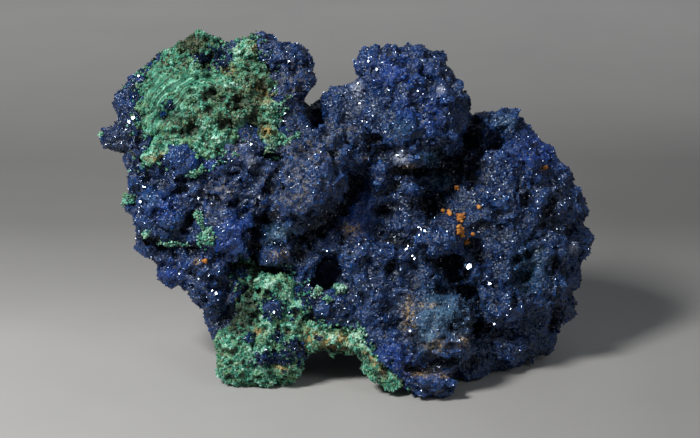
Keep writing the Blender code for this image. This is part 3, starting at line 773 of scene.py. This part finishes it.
def crumbs_on(name, spots, ways, sizes, masks):
    """Crumbs at these places, between these two sizes, each with its own masks."""
    smallest, largest = sizes
    amount = len(spots)
    length = smallest + (largest - smallest) * DICE.random(amount) ** CRUMB_SKEW
    width = length * DICE.uniform(0.6, 1.1, amount)
    height = length * DICE.uniform(0.9, 1.9, amount)
    return joined(
        name, [CRUMB], np.zeros(amount, int), spots, turns(ways, CRUMB_LEAN),
        np.stack([length, width, height], axis=1) * MM, masks)


def lace_pattern(name, size):
    """Dark along the borders of cells of this size, light in their middles."""
    pattern = bpy.data.textures.new(name, "VORONOI")
    pattern.noise_scale = size * MM
    pattern.weight_1 = -1.0
    pattern.weight_2 = 1.0
    return pattern


print("green parts:", {kind: len(spots) for kind, spots in GREENS.items()})

# %% [markdown]
# A crust starts as its solid, fused and swollen a little so that it closes on its bed. The
# lace is sunk into all that lies free, except on the sheet, which gets fine ridges round
# one centre. What lies against the blue stays as it is, because nobody sees it.

# %% Crusts
CRUST_GRAIN = 0.26
LACE_SIZE, LACE_DEPTH = 1.7, 2.2
BEAD_SIZE, BEAD_HEIGHT = 0.7, 0.4
SEAM_FILL = 0.3  # mm of swelling, which closes the seam between the crust and its bed
EDGE_WANDER = 0.7
NEAR_BED = 0.6  # mm from the azurite within which a crust's skin lies hidden in its bed
PIT_DEPTH, THIN_DEPTH = 1.2, 0.55
CRUST_REACH = 60  # smoothing steps that set how wide a rise or a pit counts


def lace_crust(node, name):
    """A crust made from a frame solid, how high each point stands, and which lie free."""
    crust = copy_of(node, name)
    fuse(crust, CRUST_GRAIN)
    use(crust, "SMOOTH", factor=0.5, iterations=3)
    push(crust, SEAM_FILL + EDGE_WANDER * (slow_noise(points_of(crust), 1.8, 15) - 0.5))
    points = points_of(crust)
    outer = np.array([ground_skin.find_nearest(Vector(p), NEAR_BED * MM)[0] is None for p in points])
    sheet = spots_mask(points, SHEET)
    lace = crust.vertex_groups.new(name="lace")
    weights = np.clip(1.2 - 1.6 * sheet, 0.0, 1.0) * outer
    for i in np.flatnonzero(weights > 0.01):
        lace.add([int(i)], float(weights[i]), "REPLACE")
    use(crust, "DISPLACE", texture=lace_pattern(name + "_lace", LACE_SIZE), mid_level=0.12,
        strength=-LACE_DEPTH * MM, vertex_group="lace")
    use(crust, "DISPLACE", texture=lump_pattern(name + "_beads", BEAD_SIZE), mid_level=0.1,
        strength=-BEAD_HEIGHT * MM, vertex_group="lace")
    across, up = on_face(points_of(crust))
    ring = np.hypot(across - SHEET_CENTRE[0], up - SHEET_CENTRE[1])
    ring = ring + slow_noise(points, 3.0, 9) * 1.6
    ridges = np.sin(ring * 2.0 * math.pi / RIDGE_STEP) * RIDGE_HEIGHT * sheet
    ragged = slow_noise(points, 0.9, 17) * 3.0 - 1.5
    pits = -PIT_DEPTH * spots_mask(points, PITS, ragged) - THIN_DEPTH * spots_mask(points, THIN)
    push(crust, (ridges + pits) * outer)
    height = relief_of(crust, CRUST_REACH)
    write_masks(crust, {
        # The height mask paints shade into the pits and light onto the high parts.
        "height": np.clip(0.5 + height * 1.1, 0.0, 1.0),
        "sheet": spots_mask(points_of(crust), SHEET), "ring": ring,
        **green_masks(points_of(crust)),
    })
    crust.vertex_groups.clear()
    crust.data.shade_smooth()
    report(crust)
    return crust, height, outer


# %% [markdown]
# Crumbs sit thick on the high parts of a crust and thin out in its pits and on its sheet,
# where they would hide the bands. So each seat gets odds of its own, and a draw decides.

# %% Crumbs on the crusts
CRUMB_SPACING, CRUMB_SIZES = 0.36, (0.11, 0.27)


def grow_crust(node, name):
    """A laced crust and the crumbs on it."""
    crust, height, outer = lace_crust(node, name)
    seats, ways, _ = scattered(crust, CRUMB_SPACING)
    tree = skin_of(crust)
    near = [tree.find_nearest(Vector(p)) for p in seats]
    corners = triangles_of(crust)[[hit[2] for hit in near]]
    level = height[corners].mean(axis=1)
    on_top = outer[corners].all(axis=1)
    off_sheet = np.clip(1.0 - 1.5 * spots_mask(seats, SHEET), 0.12, 1.0)
    off_pits = np.clip(1.0 - 1.3 * spots_mask(seats, PITS), 0.0, 1.0)
    odds = np.clip(0.6 + level * 1.8, 0.03, 1.0) * off_sheet * off_pits
    kept = on_top & (DICE.random(len(seats)) < odds)
    amount = int(kept.sum())
    # Painted light and shade: crumbs on high seats are lighter, those low down darker.
    shade = np.clip(0.45 + level[kept] * 0.8 + DICE.normal(0.0, 0.2, amount), 0.0, 1.0)
    lift = ways[kept] * (DICE.uniform(-0.05, 0.14, amount) * MM)[:, None]
    crumbs = crumbs_on(name + "_crumbs", seats[kept] + lift, ways[kept], CRUMB_SIZES, {
        "height": shade, **green_masks(seats[kept]),
    })
    print("relief", np.round(np.percentile(height, [1, 25, 50, 75, 99]), 2), "mm;", amount, "crumbs")
    return [crust, crumbs]


upper = grow_crust("malachite_crust_upper", "malachite_upper")
lower = grow_crust("malachite_crust_lower", "malachite_lower")

# %% [markdown]
# The crusts don't end in a clean edge: crumbs of green sit on the blue around them, thick
# near the crust and thinner further out, and a few sprigs grow on their own. A brush could
# paint them, but crumbs cast shadows. Blue shows in a few windows in the green, too.

# %% Sprigs and windows
SPRIGS = [
    (-34.8, 31.9, 1.3, 1.2), (-31.8, 26.6, 0.6, 0.7), (-27.8, 25, 2.6, 0.45, -5),
    (-23.2, 28.6, 1.9, 0.6, -70), (-22, 25.8, 1.5, 1.6), (-39, 42.3, 0.4, 0.5), (-31.5, 37.7, 0.8, 0.6),
    (-24, 36.6, 1.9, 0.5, 25), (-20.9, 39.4, 1.2, 0.4, -10), (-12, 40.6, 1, 1.1),
    (-9.6, 40.9, 1.8, 0.4, 20), (-7.8, 42, 0.6, 0.7), (-11, 38.6, 0.8, 0.5), (-17.5, 39, 0.6, 0.4),
    (-4.6, 16.7, 1.3, 0.8), (-0.6, 17.3, 1.5, 0.9), (-2.6, 15.6, 0.9, 0.6), (-3.5, 11.8, 0.8, 0.6),
    (3, 10.2, 0.8, 1.2),
]
WINDOWS = [
    (-19.8, 54.7, 1.7, 1.8), (-23.4, 54.8, 1.2, 1), (-28.2, 47, 0.8, 0.8), (-34, 48.7, 1.1, 2.6),
    (-11.4, 14.2, 2.4, 1.9), (-13.7, 6.5, 1, 0.9), (-11, 9.8, 0.7, 0.9), (-8.3, 8.4, 1.6, 1.2),
    (-10.6, 6.2, 3.8, 1.4), (-7.3, 7, 1.1, 1.4), (-15.4, 9.6, 0.8, 0.6), (-26.5, 38.2, 1.8, 1.6),
    (-4.2, 9.4, 0.7, 0.5), (-16.5, 20, 0.8, 0.8),
]
FLAKES = [
    (18.9, 28.9, 0.9, 0.6, -35), (16.8, 29.4, 0.35, 0.6), (18.4, 26.6, 1.1, 0.6, -65),
    (19.4, 25, 0.4, 0.7), (18.2, 33.4, 0.35, 0.4), (15.8, 29.8, 0.25, 0.25), (21.8, 30.5, 0.25, 0.25),
    (20.4, 26.2, 0.2, 0.3), (31.9, 36.9, 0.3, 0.25), (-22.4, 22, 0.25, 0.35),
]
print(len(SPRIGS), "sprigs,", len(WINDOWS), "windows,", len(FLAKES), "groups of flakes")

# %% [markdown]
# The odds of a crumb fall off with its distance from a crust, slow noise breaks them into
# clumps, and a sprig raises them again where it grows.

# %% Crumbs round the crusts
STRAY_SPACING, STRAY_SIZES = 0.27, (0.1, 0.26)
CRUMB_REACH = 1.1  # mm past a crust's edge at which its crumbs thin out
SPRIG_RISE = 0.35  # mm by which a sprig stands above the blue crystals round it
FAR = 99.0  # mm, for seats with no crust near

seats, ways, _ = scattered(ground, STRAY_SPACING)
seen = seen_from_front(seats, ground_skin)
to_crust = np.full(len(seats), FAR)
for crust in (upper[0], lower[0]):
    tree = skin_of(crust)
    near = [tree.find_nearest(Vector(p), 3.0 * MM)[3] for p in seats]
    to_crust = np.minimum(to_crust, [FAR if d is None else d / MM for d in near])
odds = np.exp(-(to_crust / CRUMB_REACH) ** 2) * (slow_noise(seats, 1.1, 12) > 0.58)
sprig = np.where(seen, spots_mask(seats, SPRIGS), 0.0)
odds = np.maximum(odds, sprig * 2.4 - 0.7)
kept = DICE.random(len(seats)) < odds
amount = int(kept.sum())
lift = ways[kept] * ((DICE.uniform(0.1, 0.45, amount) + SPRIG_RISE * sprig[kept]) * MM)[:, None]
strays = crumbs_on("malachite_crumbs", seats[kept] + lift, ways[kept], STRAY_SIZES, {
    "height": np.clip(DICE.uniform(0.1, 0.95, amount) + 0.4 * sprig[kept], 0.0, 1.0),
    **green_masks(seats[kept]),
})

# %% [markdown]
# In the windows crystals stand through the green. One of them, the bead, is larger and
# turned to the viewer, for the eye finds it first in the lower crust. The orange flakes
# are crumbs as well, drawn as the strays are.

# %% Blue windows in the green, and orange flakes
WINDOW_SPACING, WINDOW_SIZES, WINDOW_RISE, WINDOW_LEAN = 0.34, (0.3, 0.8), 0.35, 0.6
BEAD = (-10.8, 14.1, 1.2)  # across, up and length
FLAKE_SPACING, FLAKE_SIZES, FLAKE_RISE = 0.3, (0.14, 0.4), 0.35

window_spots, window_ways = [], []
for crust in (upper[0], lower[0]):
    spots, ways, _ = scattered(crust, WINDOW_SPACING)
    window = spots_mask(spots, WINDOWS)
    inside = window + 0.9 * (slow_noise(spots, 0.7, 21) - 0.5) > 0.5
    spots = spots + ways * (window * WINDOW_RISE * MM)[:, None]
    window_spots.append(spots[inside])
    window_ways.append(ways[inside])
bead = np.array(under_sight(*BEAD[:2], ground_skin))
spots = np.concatenate([*window_spots, [bead]])
ways = np.concatenate([*window_ways, unit(EYE[None, :] - bead)])
amount = len(spots)
length = DICE.uniform(*WINDOW_SIZES, amount)
length[-1] = BEAD[2]
windows = joined(
    "window_crystals", CRYSTALS, DICE.integers(0, len(CRYSTALS), amount), spots + ways * 0.1 * MM,
    turns(ways, WINDOW_LEAN), np.stack([length * 0.8, length * 0.8, length], axis=1) * MM,
    {"tint": DICE.random(amount), "level": DICE.uniform(0.3, 0.75, amount),
     "shine": DICE.random(amount)},
)

seats, ways, _ = scattered(ground, FLAKE_SPACING)
odds = np.where(seen_from_front(seats, ground_skin), spots_mask(seats, FLAKES) * 2.2 - 0.8, 0.0)
kept = DICE.random(len(seats)) < odds
amount = int(kept.sum())
lift = ways[kept] * FLAKE_RISE * MM
tint = {"tint": DICE.random(amount)}
flakes = crumbs_on("limonite_flakes", seats[kept] + lift, ways[kept], FLAKE_SIZES, tint)

# %% [markdown]
# ## Finishes
#
# Shader maths reads best as plain arithmetic. `Wire` wraps a socket, so that adding or
# multiplying two wires adds the Math node for it. `Finish` holds one material and has one
# method for every other node.


# %% Wires and finishes
class Wire:
    """A value or colour on its way through a material."""

    def __init__(self, finish, socket):
        self.finish = finish
        self.socket = socket

    def maths(self, operation, first, second):
        return self.finish.node("ShaderNodeMath", {"operation": operation}, {0: first, 1: second})

    def __add__(self, other):
        return self.maths("ADD", self, other)

    def __sub__(self, other):
        return self.maths("SUBTRACT", self, other)

    def __rsub__(self, other):
        return self.maths("SUBTRACT", other, self)

    def __mul__(self, other):
        return self.maths("MULTIPLY", self, other)

    __radd__ = __add__
    __rmul__ = __mul__


class Finish:
    """One material with a Principled shader."""

    def __init__(self, name):
        self.material = bpy.data.materials.new(name)
        self.material.use_nodes = True
        self.tree = self.material.node_tree
        self.shader = self.tree.nodes["Principled BSDF"]

    def put(self, socket, value):
        if isinstance(value, Wire):
            self.tree.links.new(value.socket, socket)
        else:
            socket.default_value = (*value, 1.0) if isinstance(value, tuple) else value

    def node(self, kind, settings=None, sockets=None, out=0):
        """Adds a node, sets it, fills its sockets, and returns one of its outputs."""
        made = self.tree.nodes.new(kind)
        for key, value in (settings or {}).items():
            setattr(made, key, value)
        for key, value in (sockets or {}).items():
            self.put(made.inputs[key], value)
        return Wire(self, made.outputs[out])

    def sine(self, wire):
        return self.node("ShaderNodeMath", {"operation": "SINE"}, {0: wire})

    def mask(self, name):
        return self.node("ShaderNodeAttribute", {"attribute_name": name}, out="Fac")

    def spot(self):
        """Where on the piece a point lies, in metres."""
        return self.node("ShaderNodeTexCoord", out="Object")

    def speckle(self, size):
        """Noise from 0 to 1 with features about this many mm across."""
        return self.node("ShaderNodeTexNoise", {}, {
            "Vector": self.spot(), "Scale": 1.0 / (size * MM), "Detail": 3.0, "Roughness": 0.55,
        })

    def facets(self, size):
        """A pattern of flat-sided pyramids about this many mm wide."""
        return self.node("ShaderNodeTexVoronoi", {"distance": "CHEBYCHEV"}, {
            "Vector": self.spot(), "Scale": 1.0 / (size * MM),
        })

    def stretch(self, wire, low, high):
        """Maps low..high to 0..1, and clips."""
        return self.node("ShaderNodeMapRange", {"clamp": True}, {
            "Value": wire, "From Min": low, "From Max": high,
        })

    def flecks(self, size, low, high):
        """Speckle cut to flecks: 0 where it is under low, 1 over high."""
        return self.stretch(self.speckle(size), low, high)

    def cover(self, colour, *layers):
        """A colour with layers laid on it in turn, each a mask and the colour where it is 1."""
        for mask, over in layers:
            colour = self.node("ShaderNodeMix", {"data_type": "RGBA", "clamp_factor": True}, {
                0: mask, 6: colour, 7: over,
            }, out=2)
        return colour

    def ramp(self, wire, stops):
        """Colours along a value: stops are (place, red, green, blue)."""
        made = self.node("ShaderNodeValToRGB", {}, {"Fac": wire})
        band = made.socket.node.color_ramp
        while len(band.elements) < len(stops):
            band.elements.new(0.5)
        for element, (spot, *colour) in zip(band.elements, stops):
            element.position = spot
            element.color = (*colour, 1.0)
        return made

    def show(self, colour, roughness, ior, bump=None, depth=0.0):
        self.put(self.shader.inputs["Base Color"], colour)
        self.put(self.shader.inputs["Roughness"], roughness)
        self.shader.inputs["IOR"].default_value = ior
        if bump is not None:
            bumped = self.node("ShaderNodeBump", {}, {
                "Height": bump, "Distance": depth * MM, "Strength": 1.0,
            })
            self.put(self.shader.inputs["Normal"], bumped)
        return self.material


# %% [markdown]
# Azurite is nearly black in thick crystals and royal blue in thin ones, and its clean faces
# shine like glass (its refractive index is about 1.75). One number for each crystal picks
# its shade and one its gloss. The height-and-light mask paints light and shade into the
# blue, and the masks lay on the dust, the painted pale highlights and the greenish parts.


# %% Azurite
def azurite_finish(name, light, least_rough):
    look = Finish(name)
    level = look.mask("level")
    grain = look.flecks(0.35, 0.3, 0.7)
    # The height-and-light mask paints light and shade into the blue.
    shade = look.mask("tint") * light * 0.35 + grain * 0.5 + level * 0.65 - 0.32
    blues = look.ramp(shade, [
        (0.0, 0.001, 0.001, 0.004),
        (0.3, 0.002, 0.008, 0.030),
        (0.6, 0.004, 0.028, 0.125),
        (0.85, 0.011, 0.075, 0.29),
        (1.0, 0.15, 0.34, 0.56),
    ])
    royal = look.mask("royal") * look.stretch(shade, 0.25, 0.75) * 0.8
    teal = look.mask("teal") * grain * 0.7
    weathered = look.mask("weathered") * look.stretch(shade, 0.25, 0.6) * (grain * 0.5 + 0.5)
    # Painted highlight: pale where the blue is lit.
    pale = look.mask("pale") * look.stretch(shade, 0.35, 0.65)
    sand = look.flecks(0.42, 0.58, 0.66) * look.flecks(2.6, 0.44, 0.58) * 0.7
    dusty = look.mask("dust") * look.flecks(0.8, 0.5, 0.62) * 0.8
    dusty = look.node("ShaderNodeMath", {"operation": "MAXIMUM"}, {0: dusty, 1: sand})
    stained = look.mask("ochre") * look.flecks(0.45, 0.47, 0.54)
    colour = look.cover(
        blues, (royal, (0.005, 0.050, 0.35)), (teal, (0.02, 0.10, 0.17)),
        (weathered, (0.08, 0.19, 0.30)), (pale, (0.52, 0.57, 0.68)),
        (dusty * look.stretch(level, 0.3, 0.6), (0.19, 0.17, 0.135)), (stained, (0.40, 0.27, 0.10)))
    roughness = (1.0 - look.mask("shine")) * 0.25 + dusty * 0.35 + least_rough
    look.shader.inputs["Specular Tint"].default_value = (0.72, 0.84, 1.0, 1.0)
    facets = (look.facets(0.4) + look.facets(0.9) * 0.6) * (1.0 - look.mask("clean"))
    return look.show(colour, roughness, 1.75, facets, 0.2)


# The bed is a darker copy of the crystals' finish: painted shade for the gaps between them.
azurite = azurite_finish("azurite_crystal", 1.0, 0.05)
shaded_azurite_bed = azurite_finish("shaded_azurite_bed", 0.8, 0.15)

# %% [markdown]
# Malachite's green runs from nearly black in its pits to pale, minty tips, so a ramp follows
# the height mask: painted shade in the pits and painted light on the tips. The smooth sheet
# at the upper left shows malachite's famous bands, and there a wave takes over.


# %% Malachite
def malachite_finish():
    look = Finish("malachite_green")
    height = look.mask("height")
    grain = look.speckle(0.3)
    patchy = look.speckle(2.4)
    tone = look.mask("pale") * 0.28 - look.mask("shade") * 0.5
    # The ramp paints shade in low places and light on high ones.
    greens = look.ramp(height * 0.85 + grain * 0.55 + patchy * 0.6 + tone - 0.62, [
        (0.05, 0.010, 0.020, 0.012),
        (0.22, 0.013, 0.058, 0.040),
        (0.45, 0.030, 0.215, 0.140),
        (0.68, 0.095, 0.45, 0.32),
        (0.95, 0.52, 0.86, 0.72),
    ])
    moss = look.flecks(1.1, 0.50, 0.58) * look.stretch(height, 0.2, 0.6) * 0.5
    # Painted shade: near-black green laid where the crust lies in shadow.
    shady = look.mask("shade") * (1.15 - height * 0.45) * 0.9
    olive = look.mask("olive") * look.flecks(0.5, 0.42, 0.58) * 0.85
    stain = look.flecks(0.9, 0.45, 0.55) * look.mask("stain") * 0.9
    sand = look.flecks(0.5, 0.55, 0.64) * (1.0 - look.mask("shade")) * 0.65
    greens = look.cover(
        greens, (moss, (0.21, 0.33, 0.12)), (shady, (0.005, 0.026, 0.016)),
        (olive, (0.085, 0.095, 0.045)), (stain, (0.52, 0.33, 0.10)), (sand, (0.19, 0.155, 0.10)))
    ring = look.mask("ring") + patchy * 0.8
    wave = look.sine(ring * 11.0) * 0.25 + look.sine(ring * 4.3) * 0.25
    banded = look.ramp(wave + 0.5 + (grain - 0.5) * 1.2, [
        (0.1, 0.010, 0.050, 0.035),
        (0.4, 0.025, 0.165, 0.10),
        (0.7, 0.065, 0.33, 0.21),
        (0.95, 0.30, 0.66, 0.48),
    ])
    colour = look.cover(greens, (look.mask("sheet") * 1.2, banded))
    # A felt of fine needles shines less than a polished face.
    look.shader.inputs["Specular IOR Level"].default_value = 0.3
    return look.show(colour, 0.5, 1.66, look.facets(0.3) + grain * 0.5, 0.12)


malachite = malachite_finish()


# %% [markdown]
# Limonite is a rusty iron stain: a few orange flakes on the right lobe, from ochre to burnt
# orange. The table is plain card with painted light on it: its tone runs from pale in front
# through grey to lighter behind, as a curved backdrop would be lit, and painted shade dims
# it at the right.


# %% Limonite and the table
def limonite_finish():
    look = Finish("limonite_orange")
    rust = look.ramp(look.mask("tint") * 0.6 + look.speckle(0.4) * 0.4, [
        (0.1, 0.24, 0.08, 0.02),
        (0.5, 0.55, 0.20, 0.03),
        (0.9, 0.70, 0.36, 0.10),
    ])
    return look.show(rust, 0.8, 1.5)


limonite = limonite_finish()


def table_finish():
    look = Finish("pale_table")
    colour = look.cover((0.44, 0.44, 0.44), (look.speckle(30.0), (0.51, 0.51, 0.50)))
    sideways, away = (
        look.node("ShaderNodeSeparateXYZ", {}, {"Vector": look.spot()}, out=axis)
        for axis in "XY")
    # Painted light: the tone falls from the front to the middle and rises again behind.
    tone = look.ramp(look.stretch(away, -0.04, 0.24), [
        (0.0, 0.87, 0.87, 0.87), (0.17, 0.88, 0.88, 0.88), (0.27, 0.70, 0.70, 0.70),
        (0.39, 0.48, 0.48, 0.48), (0.53, 0.47, 0.47, 0.47),
        (0.69, 0.66, 0.66, 0.66), (0.98, 1.0, 1.0, 1.0),
    ])
    # Painted shade: darker at the right near the front.
    painted_dimming = look.stretch(sideways, 0.0, 0.05) * look.stretch(away, 0.15, 0.08) * 0.28
    colour = look.cover((0.0, 0.0, 0.0), (tone * (1.0 - painted_dimming), colour))
    return look.show(colour, 0.6, 1.45)


def wear(piece, material):
    piece.data.materials.clear()
    piece.data.materials.append(material)


wear(table_top, table_finish())
print("finishes:", [material.name for material in bpy.data.materials])

# %% [markdown]
# ## Putting it together
#
# Every piece wears its finish and rides on the one body, and the frame solid it stands for,
# if any, is hidden. One table of pieces says it all, so none can be forgotten.

# %% Put together
DRESSED = (
    ([ground], shaded_azurite_bed, "azurite", "azurite_mass"),
    (druses, azurite, "azurite", "azurite_mass"),
    (upper, malachite, "malachite", "malachite_crust_upper"),
    (lower, malachite, "malachite", "malachite_crust_lower"),
    ([strays], malachite, "malachite", None),
    ([windows, mirrors], azurite, "azurite", None),
    ([flakes], limonite, "limonite", None),
)
total = 0
for pieces, material, slot, node in DRESSED:
    for piece in pieces:
        wear(piece, material)
        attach(piece, "root")
        if node:
            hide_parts(node)
        total += len(triangles_of(piece))
print(total, "triangles in all")
